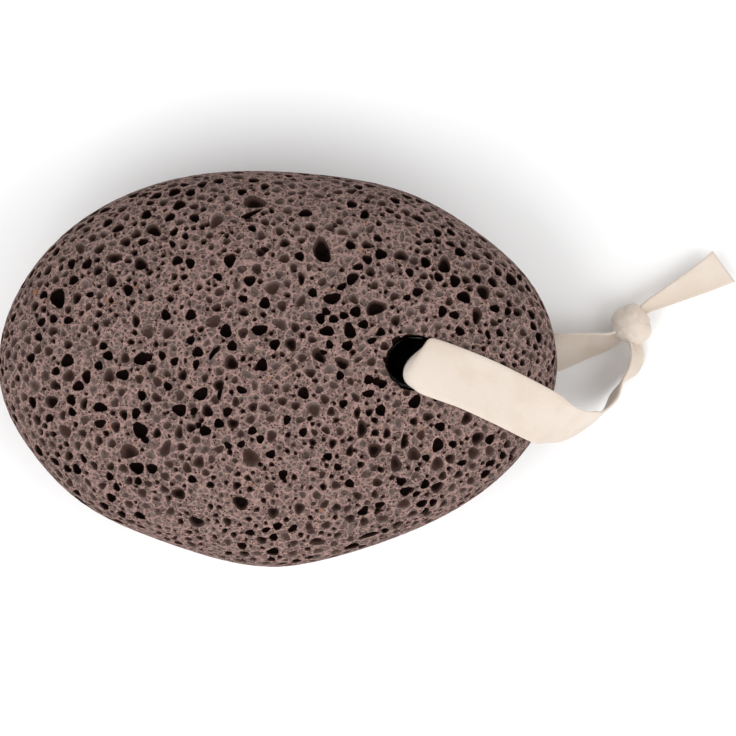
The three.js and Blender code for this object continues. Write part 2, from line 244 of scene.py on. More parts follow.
def seen_vesicles():
    """Rows of x, y, side, half length, half width, turn and depth share, no finer than the eye could read them."""
    rows = []
    for left, top, enlarged, readings in VIEWS:
        right, down, half_across, half_down, turn, depth_share = np.array(readings).T
        x, y, scale = places_in_photo(left + right / enlarged, top + down / enlarged)
        # Rows of x, y, side, half length, half width, turn and depth share, places and sizes rounded.
        size = np.stack([half_across, half_down]) * scale / enlarged
        rows.append(np.stack([np.round(x, 1), np.round(y, 1), np.ones_like(x), *np.round(size, 2),
                              np.radians(turn), depth_share], axis=1))
    return np.concatenate(rows)


print("vesicles read by eye:", len(seen_vesicles()))

# %% [markdown]
# ## Where the vesicles are
# Lava foams with gas as it cools, and grinding cuts its bubbles open: shallow dishes where it only grazed one,
# dark holes where it went through the middle. They sit close together and hardly overlap. The way used here is
# known as dart throwing: thousands of candidates fall on the surface, and the largest are kept first as long
# as they leave a thin wall to those already there. The ones that the eye notices most are placed one by one before
# that, and then come the wide ones, the middle ones and the small ones.

# %% The listed vesicles, and the large ones on a spiral that the imported model has too
PITS_PER_SIDE = 190
PIT_RADIUS_SMALL, PIT_RADIUS_LARGE = 0.85, 1.45
PIT_CROWDING, PIT_OUTERMOST, PIT_GAP = 1.7, 0.9985, 0.05
GOLDEN_ANGLE = math.pi * (3 - math.sqrt(5))
CLEAR_OF_HOLE, CLEAR_OF_MIDDLE = 6.8, 4.0
LARGE_PITS = [
    (-23.7, 18.1, 1.5, 1.2, 70), (-38.6, 12.2, 2.0, 1.5, 30), (-26.0, -14.6, 1.9, 1.4, 80),
    (-4.4, -15.8, 2.0, 1.5, 60), (17.2, 10.4, 2.0, 1.4, 120), (21.8, 22.9, 0.6, 2.0, 30),
    (8.2, 28.3, 0.7, 1.9, 20), (-21.5, 24.0, 1.6, 1.2, 100), (26.5, -14.0, 1.5, 1.2, 70),
    (17.8, -24.0, 2.0, 1.5, 10), (2.5, 4.0, 1.3, 1.1, 0), (-9.0, 9.5, 1.5, 1.3, 40),
]


def scatter(i, k):
    """A repeatable number from 0 to 1 for vesicle i and purpose k: the fraction of a large sine."""
    return np.mod(np.sin(i * 12.9898 + k * 78.233) * 43758.5453, 1.0)


def spiral_vesicles():
    """Rows of x, y, side, half length, half width, turn and depth share, the last ones on a golden-angle spiral.

    A depth share of 0 leaves the depth to chance.
    """
    k = np.arange(2 * PITS_PER_SIDE)
    side = np.where(k < PITS_PER_SIDE, 1.0, -1.0)
    number = k % PITS_PER_SIDE
    share = (number + 0.3 + 0.6 * scatter(k, 1)) / PITS_PER_SIDE
    reach = np.minimum(np.sqrt(1 - (1 - share) ** PIT_CROWDING), PIT_OUTERMOST)
    angle = (number + 0.5 * scatter(k, 2)) * GOLDEN_ANGLE
    radius = outline_radius(angle) * reach
    size = PIT_RADIUS_SMALL + (PIT_RADIUS_LARGE - PIT_RADIUS_SMALL) * scatter(k, 3) ** 2
    narrow = 0.7 + 0.3 * scatter(k, 4)
    turn = 2 * math.pi * scatter(k, 5)
    east, north = radius * np.cos(angle), radius * np.sin(angle)
    rows = np.stack([east, north, side, size, size * narrow, turn, 0 * size], axis=1)
    named = np.array([(x, y, 1, a, b, math.radians(t), 0) for x, y, a, b, t in LARGE_PITS])
    return np.concatenate([seen_vesicles(), named, rows])


def kept_apart(rows):
    """The rows that leave a wall to every earlier one and stay clear of the hole and the resting point."""
    places = np.concatenate([surface_points(rows[rows[:, 2] == s][:, 0], rows[rows[:, 2] == s][:, 1], s)
                             for s in (1, -1)])
    order = np.concatenate([np.flatnonzero(rows[:, 2] == s) for s in (1, -1)])
    places = places[np.argsort(order)]
    size = np.maximum(rows[:, 3], rows[:, 4])
    clear = np.hypot(rows[:, 0] - HOLE_X, rows[:, 1] - HOLE_Y) >= CLEAR_OF_HOLE
    clear &= (rows[:, 2] > 0) | (np.hypot(rows[:, 0], rows[:, 1]) >= CLEAR_OF_MIDDLE)
    kept = []
    for i in np.flatnonzero(clear):
        apart = np.linalg.norm(places[kept] - places[i], axis=1) if kept else np.array([1e9])
        if not kept or np.all(apart >= size[kept] + size[i] + PIT_GAP):
            kept.append(i)
    places[:, 2] = np.maximum(places[:, 2], -MIDDLE_Z)
    return places[kept], rows[kept]


large_places, large_rows = kept_apart(spiral_vesicles())
print("vesicles placed by hand or on the spiral:", len(large_rows))

# %% Candidates spread evenly over the whole surface
WIDE_TRIES, MIDDLE_TRIES, SMALL_TRIES = 1500, 90000, 18000
WALL, SIZE_POWER = 0.10, 3.2
draw = np.random.default_rng(11)


def spread_on_surface(count):
    """Points spread evenly: a face is drawn by its area, then a point in it by two random shares."""
    a, b, c, d = (body_points[ball_faces[:, k]] for k in range(4))
    corners = np.concatenate([np.stack([a, b, c], axis=1), np.stack([a, c, d], axis=1)])
    area = np.linalg.norm(np.cross(corners[:, 1] - corners[:, 0], corners[:, 2] - corners[:, 0]), axis=1)
    pick = draw.choice(len(corners), count, p=area / area.sum())
    u, v = draw.random(count), draw.random(count)
    fold = u + v > 1
    u[fold], v[fold] = 1 - u[fold], 1 - v[fold]
    tri = corners[pick]
    points = tri[:, 0] + (tri[:, 1] - tri[:, 0]) * u[:, None] + (tri[:, 2] - tri[:, 0]) * v[:, None]
    points[:, 2] -= MIDDLE_Z
    return points


def thrown(count, sizes, taken_places, taken_sizes, wall, fill):
    """Dart throwing: sizes is sorted down, and a candidate stays if no earlier one is nearer than the wall."""
    points = spread_on_surface(count)
    everything = np.concatenate([taken_places, points])
    radii = np.concatenate([taken_sizes, sizes])
    tree = kdtree.KDTree(len(everything))
    for i, place in enumerate(everything.tolist()):
        tree.insert(place, i)
    tree.balance()
    alive = np.ones(len(everything), bool)
    alive[len(taken_sizes):] = fill(points, sizes)
    kept = []
    for i in range(len(everything)):
        if not alive[i]:
            continue
        if i >= len(taken_sizes):
            kept.append(i)
        near = tree.find_range(everything[i].tolist(), radii[i] * 2 + wall if i >= len(taken_sizes)
                               else radii[i] + sizes[0] + wall)
        index = np.array([item[1] for item in near], int)
        away = np.array([item[2] for item in near])
        later = index > max(i, len(taken_sizes) - 1)
        hit = later & (away < radii[index] + radii[i] + wall)
        alive[index[hit]] = False
    kept = np.array(kept, int)
    return everything[kept], radii[kept]


def coarseness(points):
    """0 where the foam is fine and 1 where it is coarse: two slow waves along and across the stone."""
    wave = np.sin(points[:, 0] / 8 + 1.2 * np.sin(points[:, 1] / 9))
    wave = wave + np.cos(points[:, 1] / 6.5 - points[:, 0] / 14)
    return np.clip(0.5 + 0.35 * wave, 0, 1)


def clear_of_features(points, sizes):
    """True where a vesicle suits the foam, isn't lost in the drilled hole and is off the resting face's middle."""
    off_hole = np.hypot(points[:, 0] - HOLE_X, points[:, 1] - HOLE_Y) > HOLE_RADIUS - 0.4
    off_middle = (points[:, 2] > 0) | (np.hypot(points[:, 0], points[:, 1]) > 1.5)
    return off_hole & off_middle & (sizes < 0.78 + 0.85 * coarseness(points))


def throw_class(count, low, high, wall, taken_places, taken_sizes):
    """Dart throwing for one size class, more small sizes than large, tried largest first."""
    tries = np.sort(low + (high - low) * draw.random(count) ** SIZE_POWER)[::-1]
    return thrown(count, tries, taken_places, taken_sizes, wall, clear_of_features)


large_sizes = np.maximum(large_rows[:, 3], large_rows[:, 4])
wide_places, wide_sizes = throw_class(WIDE_TRIES, 0.95, 1.6, WALL, large_places, large_sizes)
taken_places = np.concatenate([large_places, wide_places])
taken_sizes = np.concatenate([large_sizes, wide_sizes])
middle_places, middle_sizes = throw_class(MIDDLE_TRIES, 0.46, 1.1, WALL, taken_places, taken_sizes)
taken_places = np.concatenate([large_places, wide_places, middle_places])
taken_sizes = np.concatenate([large_sizes, wide_sizes, middle_sizes])
small_places, small_sizes = throw_class(SMALL_TRIES, 0.25, 0.42, WALL, taken_places, taken_sizes)
print("vesicles: large", len(large_sizes), "wide", len(wide_sizes),
      "middle", len(middle_sizes), "small", len(small_sizes))

# %% [markdown]
# ## Cutting the vesicles
# Each vesicle is a bubble below the surface and a short plug above it, so that the cut leaves a crisp rim. All
# bubbles of one size class are made at once: one small grid of angle and depth, copied by array arithmetic to
# every place, turned to face outward, stretched and bent a little. One Boolean then cuts a whole class. Solids
# in one cutter must not overlap, so bubbles that had grown together, and a few slits, are cut in later passes.


# %% Bubbles of one class as one mesh
PLUG = 0.04
DISH, HOLE, BORE = 0.5, 1.0, 0.8


def facing_axes(normals):
    """Three unit directions at each place: two along the surface and one outwards."""
    helper = np.where(np.abs(normals[:, 2:3]) > 0.9, [[1.0, 0, 0]], [[0, 0, 1.0]])
    side_a = np.cross(helper, normals)
    side_a /= np.linalg.norm(side_a, axis=1)[:, None]
    return np.stack([side_a, np.cross(normals, side_a), normals], axis=1)


def turned_from_east(turn, normals):
    """A turn measured from the stone's long axis, as one from each place's own first direction."""
    first = facing_axes(normals)[:, 0]
    return turn - np.arctan2(first[:, 1], first[:, 0])


def bubbles_at(places, normals, half_length, half_width, turn, profile, depth, lean, sides, kind, cover):
    """Closed pits: a rim, rings of a profile (share of depth, share of radius), then one deepest point.

    half_length, half_width and depth are in millimetres, and lean slides the deeper rings sideways. cover gives
    how far points lie below the surface, and the rim and the lid are lifted by that and a little more.
    """
    count = len(places)
    share = np.array([0.0] + [step[0] for step in profile])
    radius = np.array([1.0] + [step[1] for step in profile])
    down = share[None, :] * depth[:, None]
    angle = np.arange(sides) * 2 * math.pi / sides + draw.random(count)[:, None]
    wobble = 1 + 0.12 * np.cos(3 * angle + 6.3 * draw.random(count)[:, None])
    wobble = wobble + 0.10 * np.cos(2 * angle + 6.3 * draw.random(count)[:, None])
    flat_x = radius[None, :, None] * (np.cos(angle) * wobble * half_length[:, None])[:, None, :]
    flat_y = radius[None, :, None] * (np.sin(angle) * wobble * half_width[:, None])[:, None, :]
    cos, sin = np.cos(turn)[:, None, None], np.sin(turn)[:, None, None]
    slide = down[:, :, None]
    local_x = flat_x * cos - flat_y * sin + slide * lean[:, None, None, 0]
    local_y = flat_x * sin + flat_y * cos + slide * lean[:, None, None, 1]
    local_z = np.broadcast_to(-down[:, :, None], local_x.shape)
    local = np.stack([local_x, local_y, local_z], axis=-1).reshape(count, -1, 3)
    bottom = np.stack([depth * lean[:, 0], depth * lean[:, 1], -depth], axis=1)
    local = np.concatenate([local, bottom[:, None], np.zeros((count, 1, 3))], axis=1)
    points = np.einsum("nvk,nkj->nvj", local, facing_axes(normals)) + places[:, None, :]
    for part in (slice(0, sides), slice(-1, None)):
        lift = cover(points[:, part].reshape(-1, 3)).reshape(count, -1, 1) + PLUG
        points[:, part] += normals[:, None, :] * lift
    levels = len(share)
    around = np.arange(sides)
    following = (around + 1) % sides
    walls = [np.stack([r * sides + around, (r + 1) * sides + around, (r + 1) * sides + following,
                       r * sides + following], axis=1) for r in range(levels - 1)]
    walls = np.concatenate(walls) if walls else np.zeros((0, 4), int)
    low, high = levels * sides, levels * sides + 1
    fans = np.concatenate([
        np.stack([(levels - 1) * sides + around, np.full(sides, low), (levels - 1) * sides + following], axis=1),
        np.stack([following, np.full(sides, high), around], axis=1)])
    shift = (np.arange(count) * (levels * sides + 2))[:, None, None]
    tint = draw.random(count)
    per_face = [np.concatenate([np.repeat(np.broadcast_to(value, count), len(part)) for part in (walls, fans)])
                for value in (kind, tint)]
    return {"points": points.reshape(-1, 3), "quads": (walls[None] + shift).reshape(-1, 4),
            "fans": (fans[None] + shift).reshape(-1, 3), "kind": per_face[0], "tint": per_face[1]}


def cutter_object(name, classes):
    """One object holding the bubbles of several classes, each face marked with its kind and its own tint."""
    points, faces, kinds, tints, base = [], [], [], [], 0
    for bubbles in classes:
        points.append(bubbles["points"])
        faces += (bubbles["quads"] + base).tolist() + (bubbles["fans"] + base).tolist()
        kinds.append(bubbles["kind"])
        tints.append(bubbles["tint"])
        base += len(bubbles["points"])
    piece = mesh_object(name, np.concatenate(points) + [0, 0, MIDDLE_Z], faces)
    mark_faces(piece, np.concatenate(kinds), np.concatenate(tints))
    return piece


def mark_faces(piece, kind, tint):
    """Store on each face what it is, 0 for ground surface, and a random tint; the cut keeps both."""
    for name, values in (("pit_kind", kind), ("pit_tint", tint)):
        layer = piece.data.attributes.new(name, "FLOAT", "FACE")
        layer.data.foreach_set("value", np.broadcast_to(values, len(piece.data.polygons)).astype(np.float32))


FLOW = np.array([0.15, -1.0, 0.0])


def sheared_lean(normals, least, most, stray=0.2):
    """Sideways slides mostly along the way the lava flowed, seen in each place's own two surface directions."""
    count = len(normals)
    axes = facing_axes(normals)
    flow = np.stack([axes[:, 0] @ FLOW, axes[:, 1] @ FLOW], axis=1)
    angle = 2 * math.pi * draw.random(count)
    sideways = stray * draw.random(count)[:, None] * np.stack([np.cos(angle), np.sin(angle)], axis=1)
    return (least + (most - least) * draw.random(count))[:, None] * flow + sideways


HOLE_PROFILE, BOWL_PROFILE = [(0.55, 0.88)], [(0.62, 0.70)]
ROUND_HOLE_PROFILE, ROUND_BOWL_PROFILE = [(0.3, 1.0), (0.75, 0.70)], [(0.38, 0.88), (0.85, 0.50)]
RINGED_SIZE = 0.82


def pit_class(places, normals, length, width, turn, depth_share, sides, round_floor=False):
    """Bowls and holes of one size class, as deep as the share of their half width says.

    A bowl's deepest point slides up to half its width with the flow. Small pits are plain funnels.
    """
    classes = []
    depth = np.minimum(length, width) * depth_share
    bowl = depth_share < 1.0
    ringed = length >= RINGED_SIZE
    bowl_profile = ROUND_BOWL_PROFILE if round_floor else BOWL_PROFILE
    hole_profile = ROUND_HOLE_PROFILE if round_floor else HOLE_PROFILE
    for chosen, profile, sides_here in (
            (bowl & ringed, bowl_profile, sides), (~bowl & ringed, hole_profile, sides),
            (bowl & ~ringed, [], sides - 1), (~bowl & ~ringed, [], sides - 1)):
        if not chosen.any():
            continue
        lean = sheared_lean(normals[chosen], 0.05, 0.5) / np.maximum(depth_share[chosen], 0.45)[:, None]
        kind = np.where(depth_share[chosen] < 1.0, DISH, HOLE)
        classes.append(bubbles_at(places[chosen], normals[chosen], length[chosen], width[chosen], turn[chosen],
                                  profile, depth[chosen], lean, sides_here, kind, depth_below_surface))
    return classes


def depth_shares(sizes, hole_share):
    """Depth in half widths: the given share are deep holes, the rest dishes and bowls of all depths."""
    count = len(sizes)
    hole = draw.random(count) < hole_share
    return np.where(hole, 1.05 + 0.7 * draw.random(count), 0.33 + 0.65 * draw.random(count))


# %% Cut the vesicles
def cut(piece, cutter):
    """Take the cutter's solids out of the piece with a Boolean, and keep the result as the piece's own mesh."""
    step = piece.modifiers.new("cut", "BOOLEAN")
    step.operation = "DIFFERENCE"
    step.solver = "MANIFOLD"
    step.object = cutter
    depsgraph = bpy.context.evaluated_depsgraph_get()
    result = bpy.data.meshes.new_from_object(piece.evaluated_get(depsgraph))
    piece.modifiers.clear()
    piece.data = result
    bpy.data.objects.remove(cutter)


def triangle_count(piece):
    """How many triangles the piece has."""
    piece.data.calc_loop_triangles()
    return len(piece.data.loop_triangles)


LARGE_HOLES, WIDE_HOLES = 0.22, 0.2
HOLES_BY_SIZE = ((0.44, 0.6, 0.85, 1.1), (0.68, 0.55, 0.42, 0.3))
mark_faces(stone, 0.0, 0.5)
wide_count, middle_count, small_count = len(wide_sizes), len(middle_sizes), len(small_sizes)
wide_width = wide_sizes * (1 - 0.4 * draw.random(wide_count))
middle_width = middle_sizes * (1 - 0.35 * draw.random(middle_count) ** 1.5)
small_width = small_sizes * (1 - 0.4 * draw.random(small_count))
small_normals = surface_normals(small_places)
large_normals = surface_normals(large_places)
measured = large_rows[:, 6] > 0
large_shares = np.where(measured, large_rows[:, 6], depth_shares(large_sizes, LARGE_HOLES))
large_turns = np.where(measured, turned_from_east(large_rows[:, 5], large_normals), large_rows[:, 5])
first_classes = pit_class(large_places, large_normals, large_rows[:, 3], large_rows[:, 4], large_turns,
                          large_shares, 12, True)
first_classes += pit_class(wide_places, surface_normals(wide_places), wide_sizes, wide_width,
                           2 * math.pi * draw.random(wide_count), depth_shares(wide_sizes, WIDE_HOLES), 10, True)
middle_shares = depth_shares(middle_sizes, np.interp(middle_sizes, HOLES_BY_SIZE[0], HOLES_BY_SIZE[1]))
first_classes += pit_class(middle_places, surface_normals(middle_places), middle_sizes, middle_width,
                           2 * math.pi * draw.random(middle_count), middle_shares, 8)
first_classes.append(bubbles_at(small_places, small_normals, small_sizes, small_width,
                                2 * math.pi * draw.random(small_count), [], 1.5 * small_width,
                                sheared_lean(small_normals, 0, 0.3), 5, HOLE, depth_below_surface))
cut(stone, cutter_object("vesicle_cutter", first_classes))
print("stone triangles after the first cut:", triangle_count(stone))

# %% Cut the bubbles that had grown into their neighbours
NEIGHBOUR_TRIES = 440
merged_places, merged_sizes = thrown(
    NEIGHBOUR_TRIES, np.sort(0.42 + 0.5 * draw.random(NEIGHBOUR_TRIES) ** 1.5)[::-1], np.zeros((0, 3)),
    np.zeros(0), 0.3, clear_of_features)
merged_count = len(merged_sizes)
merged_width = merged_sizes * (1 - 0.35 * draw.random(merged_count))
cut(stone, cutter_object("merged_cutter", pit_class(
    merged_places, surface_normals(merged_places), merged_sizes, merged_width,
    2 * math.pi * draw.random(merged_count), depth_shares(merged_sizes, 0.6), 8)))
print("bubbles grown together:", merged_count, "triangles:", triangle_count(stone))

# %% Cut the slits and the dark ends of some dishes
SLITS = np.array([
    (-4.6, 27.1, 2.1, 0.5, 25), (8.1, 20.6, 1.0, 0.85, 0), (-10.9, 2.6, 1.6, 0.42, 55), (-9.8, -4.6, 1.2, 0.4, 80)])
slit_places = surface_points(SLITS[:, 0], SLITS[:, 1], 1)
slit_normals = surface_normals(slit_places)
cut(stone, cutter_object("slit_cutter", pit_class(
    slit_places, slit_normals, SLITS[:, 2], SLITS[:, 3], turned_from_east(np.radians(SLITS[:, 4]), slit_normals),
    np.full(len(SLITS), 2.4), 10, True)))

# %% [markdown]
# ## The drilled hole
# The hole is a plain bore with a rim that broke out a little as the drill came through. It is cut like the
# vesicles: a closed drill shape, worked out on a grid of angle and height, is taken out of the stone.

# %% Drill the hole
RIM_WIDTH = 0.9
HOLE_SIDES = 48
rim_top = float(surface_points(np.array([HOLE_X]), np.array([HOLE_Y]), 1)[0, 2]) + MIDDLE_Z
rim_bottom = float(surface_points(np.array([HOLE_X]), np.array([HOLE_Y]), -1)[0, 2]) + MIDDLE_Z
PROFILE = [(rim_bottom - 3, HOLE_RADIUS + RIM_WIDTH), (rim_bottom + 0.2, HOLE_RADIUS + 0.15),
           (rim_bottom + 1.5, HOLE_RADIUS), (rim_bottom + 12, HOLE_RADIUS), (MIDDLE_Z, HOLE_RADIUS),
           (rim_top - 12, HOLE_RADIUS), (rim_top - 1.5, HOLE_RADIUS), (rim_top - 0.2, HOLE_RADIUS + 0.12),
           (rim_top + 3, HOLE_RADIUS + RIM_WIDTH)]


def drill_shape():
    """A turned profile whose radius is disturbed by a few waves round it, closed by a flat face at each end."""
    angle = np.arange(HOLE_SIDES) * 2 * math.pi / HOLE_SIDES
    height = np.array([z for z, _ in PROFILE])
    radius = np.array([r for _, r in PROFILE])
    chips = 0.12 * np.sin(5 * angle[None, :] + height[:, None])
    chips = chips + 0.10 * np.sin(13 * angle[None, :] + 2 * height[:, None])
    reach = radius[:, None] + chips
    points = np.stack([HOLE_X + reach * np.cos(angle), HOLE_Y + reach * np.sin(angle),
                       np.broadcast_to(height[:, None], reach.shape)], axis=-1).reshape(-1, 3)
    around, following = np.arange(HOLE_SIDES), (np.arange(HOLE_SIDES) + 1) % HOLE_SIDES
    walls = np.concatenate([np.stack([r * HOLE_SIDES + around, r * HOLE_SIDES + following,
                                      (r + 1) * HOLE_SIDES + following, (r + 1) * HOLE_SIDES + around], axis=1)
                            for r in range(len(PROFILE) - 1)])
    last = (len(PROFILE) - 1) * HOLE_SIDES
    return points, walls.tolist() + [around[::-1].tolist(), (last + around).tolist()]


drill = mesh_object("drill", *drill_shape())
mark_faces(drill, BORE, 0.5)
cut(stone, drill)

# %% A few vesicles open into the bore's wall
BORE_PITS = 70
bore_angle = draw.random(BORE_PITS) * 2 * math.pi
bore_height = np.linspace(rim_bottom + 3, rim_top - 3, BORE_PITS) - MIDDLE_Z
inward = -np.stack([np.cos(bore_angle), np.sin(bore_angle), 0 * bore_angle], axis=1)
bore_places = np.stack([HOLE_X - HOLE_RADIUS * inward[:, 0],
                        HOLE_Y - HOLE_RADIUS * inward[:, 1], bore_height], axis=1)
gap = np.linalg.norm(bore_places[:, None] - bore_places[None], axis=2)
crowded = np.any(np.triu(gap < 1.7, 1), axis=0)
bore_places, inward = bore_places[~crowded], inward[~crowded]
bore_sizes = 0.4 + 0.35 * draw.random(len(bore_places))
cut(stone, cutter_object("bore_cutter", [bubbles_at(
    bore_places, inward, bore_sizes, bore_sizes * 0.85, 6.3 * draw.random(len(bore_sizes)), HOLE_PROFILE,
    bore_sizes * 1.3, sheared_lean(inward, 0, 0.3), 8, HOLE, lambda points: np.full(len(points), 0.1))]))
print("vesicles in the bore:", len(bore_places), "triangles:", triangle_count(stone))

# %% Mark how deep each point lies, and keep the rims crisp
def mark_depth(piece):
    """Store each point's depth below the ground surface, in millimetres, for the material to read."""
    places = np.empty(len(piece.data.vertices) * 3)
    piece.data.vertices.foreach_get("co", places)
    depth = np.maximum(depth_below_surface(places.reshape(-1, 3) / MM - [0, 0, MIDDLE_Z]), 0)
    layer = piece.data.attributes.new("pit_depth", "FLOAT", "POINT")
    layer.data.foreach_set("value", depth.astype(np.float32))
    return depth


def crisp_rims(piece):
    """An edge is a rim, and sharp, where ground surface on one side meets a pit on the other."""
    mesh = piece.data
    kind = np.empty(len(mesh.polygons), np.float32)
    mesh.attributes["pit_kind"].data.foreach_get("value", kind)
    corners = np.empty(len(mesh.polygons), np.int32)
    mesh.polygons.foreach_get("loop_total", corners)
    edge = np.empty(len(mesh.loops), np.int32)
    mesh.loops.foreach_get("edge_index", edge)
    in_pit = np.repeat(kind > 0.1, corners)
    ground_side, pit_side = np.zeros(len(mesh.edges), bool), np.zeros(len(mesh.edges), bool)
    ground_side[edge[~in_pit]] = True
    pit_side[edge[in_pit]] = True
    layer = mesh.attributes.get("sharp_edge") or mesh.attributes.new("sharp_edge", "BOOLEAN", "EDGE")
    layer.data.foreach_set("value", ground_side & pit_side)
    return int((ground_side & pit_side).sum())


depth = mark_depth(stone)
stone.data.shade_smooth()
rim_edges = crisp_rims(stone)
print("stone triangles:", triangle_count(stone), "rim edges:", rim_edges,
      "deepest", round(float(depth.max()), 1), "mm")

# %% [markdown]
# ## Materials
# Nothing here uses a picture. Lava, cotton and floor are each made of a few noise patterns, and two effects that
# all of them need are written once as node groups: patches of another tone, and a fine relief. Painting an image
# would be quicker, but it would show its pixels as soon as the camera comes near.

# %% Small helpers for node trees
def mapped(nodes, links, source, low, high, to_low=0.0, to_high=1.0):
    """A value that goes softly from to_low to to_high as the source goes from low to high."""
    node = nodes.new("ShaderNodeMapRange")
    node.interpolation_type = "SMOOTHSTEP"
    for name, value in (("From Min", low), ("From Max", high), ("To Min", to_low), ("To Max", to_high)):
        if hasattr(value, "links"):
            links.new(value, node.inputs[name])
        else:
            node.inputs[name].default_value = value
    links.new(source, node.inputs["Value"])
    return node.outputs["Result"]


def blended(nodes, links, mask, first, second):
    """Two colours blended by a mask; each is a socket or a fixed colour."""
    node = nodes.new("ShaderNodeMix")
    node.data_type = "RGBA"
    for key, value in ((0, mask), (6, first), (7, second)):
        if hasattr(value, "links"):
            links.new(value, node.inputs[key])
        else:
            node.inputs[key].default_value = value
    return node.outputs[2]


def calculated(nodes, links, operation, *values):
    """One step of arithmetic on sockets and numbers."""
    node = nodes.new("ShaderNodeMath")
    node.operation = operation
    for key, value in enumerate(values):
        if hasattr(value, "links"):
            links.new(value, node.inputs[key])
        else:
            node.inputs[key].default_value = value
    return node.outputs[0]


def noise(nodes, links, vector, scale, detail=3.0):
    """A noise texture's value, about 0.5 on average."""
    node = nodes.new("ShaderNodeTexNoise")
    node.inputs["Detail"].default_value = detail
    links.new(vector, node.inputs["Vector"])
    if hasattr(scale, "links"):
        links.new(scale, node.inputs["Scale"])
    else:
        node.inputs["Scale"].default_value = scale
    return node.outputs["Fac"]


def new_group(name, inputs, outputs):
    """A shader node group with named sockets, each given as (name, kind, default)."""
    group = bpy.data.node_groups.new(name, "ShaderNodeTree")
    for in_out, sockets in (("INPUT", inputs), ("OUTPUT", outputs)):
        for socket_name, kind, *default in sockets:
            socket = group.interface.new_socket(name=socket_name, in_out=in_out, socket_type=kind)
            if default:
                socket.default_value = default[0]
    entry, result = group.nodes.new("NodeGroupInput"), group.nodes.new("NodeGroupOutput")
    return group, entry.outputs, result.inputs


def placed(nodes, links, group, **values):
    """The group as a node of a material, its inputs set by name with _ for a space."""
    node = nodes.new("ShaderNodeGroup")
    node.node_tree = group
    for name, value in values.items():
        socket = node.inputs[name.replace("_", " ")]
        if hasattr(value, "links"):
            links.new(value, socket)
        else:
            socket.default_value = value
    return node.outputs


# %% Effects that stone, cotton and floor share
patches, given, result = new_group(
    "tone patches", [("Vector", "NodeSocketVector"), ("Scale", "NodeSocketFloat", 60.0),
                     ("Low", "NodeSocketFloat", 0.38), ("High", "NodeSocketFloat", 0.62)],
    [("Mask", "NodeSocketFloat")])
patch_noise = noise(patches.nodes, patches.links, given["Vector"], given["Scale"])
patches.links.new(mapped(patches.nodes, patches.links, patch_noise, given["Low"], given["High"]), result["Mask"])

relief, given, result = new_group(
    "fine relief", [("Vector", "NodeSocketVector"), ("Grain Scale", "NodeSocketFloat", 4000.0),
                    ("Pattern", "NodeSocketFloat", 0.0), ("Pattern Share", "NodeSocketFloat", 0.8),
                    ("Strength", "NodeSocketFloat", 0.5)],
    [("Normal", "NodeSocketVector")])
grain = noise(relief.nodes, relief.links, given["Vector"], given["Grain Scale"], 2.0)
height = calculated(relief.nodes, relief.links, "MULTIPLY_ADD", given["Pattern"], given["Pattern Share"], grain)
relief_bump = relief.nodes.new("ShaderNodeBump")
relief_bump.inputs["Distance"].default_value = 0.00012
relief.links.new(given["Strength"], relief_bump.inputs["Strength"])
relief.links.new(height, relief_bump.inputs["Height"])
relief.links.new(relief_bump.outputs["Normal"], result["Normal"])


def new_material(name, roughness):
    """A material with one Principled shader, and its nodes, links, shader and Object coordinates."""
    material = bpy.data.materials.new(name)
    material.use_nodes = True
    nodes, links = material.node_tree.nodes, material.node_tree.links
    shader = nodes["Principled BSDF"]
    shader.inputs["Roughness"].default_value = roughness
    where = nodes.new("ShaderNodeTexCoord").outputs["Object"]
    return material, nodes, links, shader, where


def attribute(nodes, name):
    """The value of a mesh attribute."""
    node = nodes.new("ShaderNodeAttribute")
    node.attribute_name = name
    return node.outputs["Fac"]


# %% [markdown]
# ## Lava
# The ground surface between the pits is a brown grey, pricked with pores too small to cut, whose dark insides are
# painted shade. A cell pattern draws pinkish light walls through it as a painted highlight, and dish rims get a
# painted highlight too. A dish is greyer and darker than the ground. Dishes and holes are painted darker with
# depth, nearly black inside a hole, as painted shade for the little light that finds its way in and out again.
# Which is which is written on the faces of the mesh.

# %% The lava material
GROUND_DULL, GROUND_PINK = (0.098, 0.069, 0.062, 1), (0.126, 0.082, 0.073, 1)
# A pale tone for random speckle, and for the painted highlight on the cell walls.
PALE_TONE_AND_HIGHLIGHT = (0.350, 0.225, 0.200, 1)
DISH_DARK, DISH_LIGHT = (0.050, 0.035, 0.031, 1), (0.138, 0.105, 0.095, 1)
# Painted shade for the insides of holes, deep dishes and the bore.
HOLE_SHADE_EDGE, HOLE_SHADE_DEEP = (0.050, 0.026, 0.021, 1), (0.005, 0.002, 0.0015, 1)
PAINTED_RIM_HIGHLIGHT = (0.340, 0.235, 0.210, 1)
# The pore colour is painted shade; rust is the stone's own colour.
PORE_SHADE, RUST = (0.050, 0.024, 0.020, 1), (0.250, 0.115, 0.065, 1)


